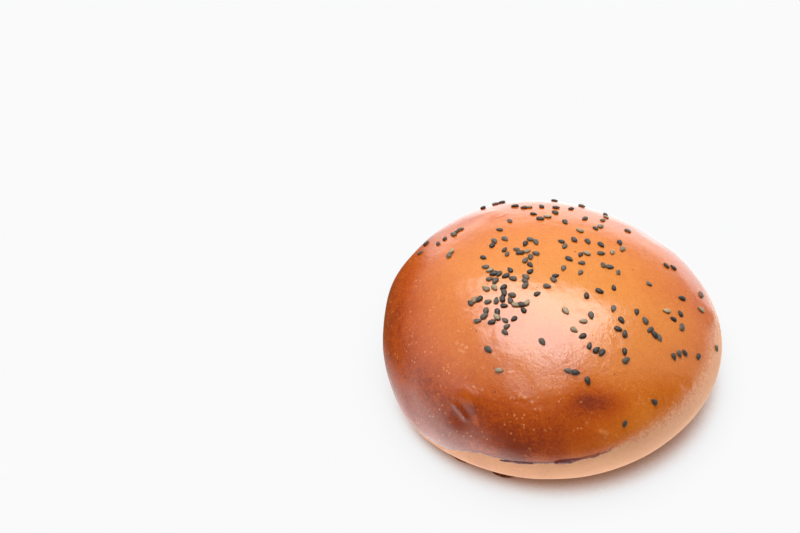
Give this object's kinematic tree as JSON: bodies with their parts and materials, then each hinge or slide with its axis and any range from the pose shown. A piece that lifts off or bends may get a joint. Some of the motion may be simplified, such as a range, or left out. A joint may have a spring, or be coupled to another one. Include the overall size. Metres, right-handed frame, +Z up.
{
  "type": "hamburger bun",
  "caption": "Whole round hamburger bun: a low domed top with a glossy egg-washed crust, sprinkled with dark sesame seeds, over a pale tucked-in flat base.",
  "frame": {"origin": "middle of the bun's box on the surface it rests on", "axes": "+Z up through the dome; +X along the widest way across, to the right in the picture; the picture looks along +Y from the front and above"},
  "size_m": [0.1272, 0.1234, 0.0499],
  "materials": {
    "crust": "egg-washed baked crust: glossy golden brown on top, red-brown at the shoulder, pale and dull under the glaze's edge",
    "seed_dark": "charcoal black sesame hull, dull with a faint sheen",
    "seed_pale": "olive-tan sesame hull, dull with a faint sheen",
    "burnt_glaze": "thin dark brown flake of glaze that ran down and baked"
  },
  "bodies": {
    "root": {"bun": "crust"}
  },
  "joints": []
}
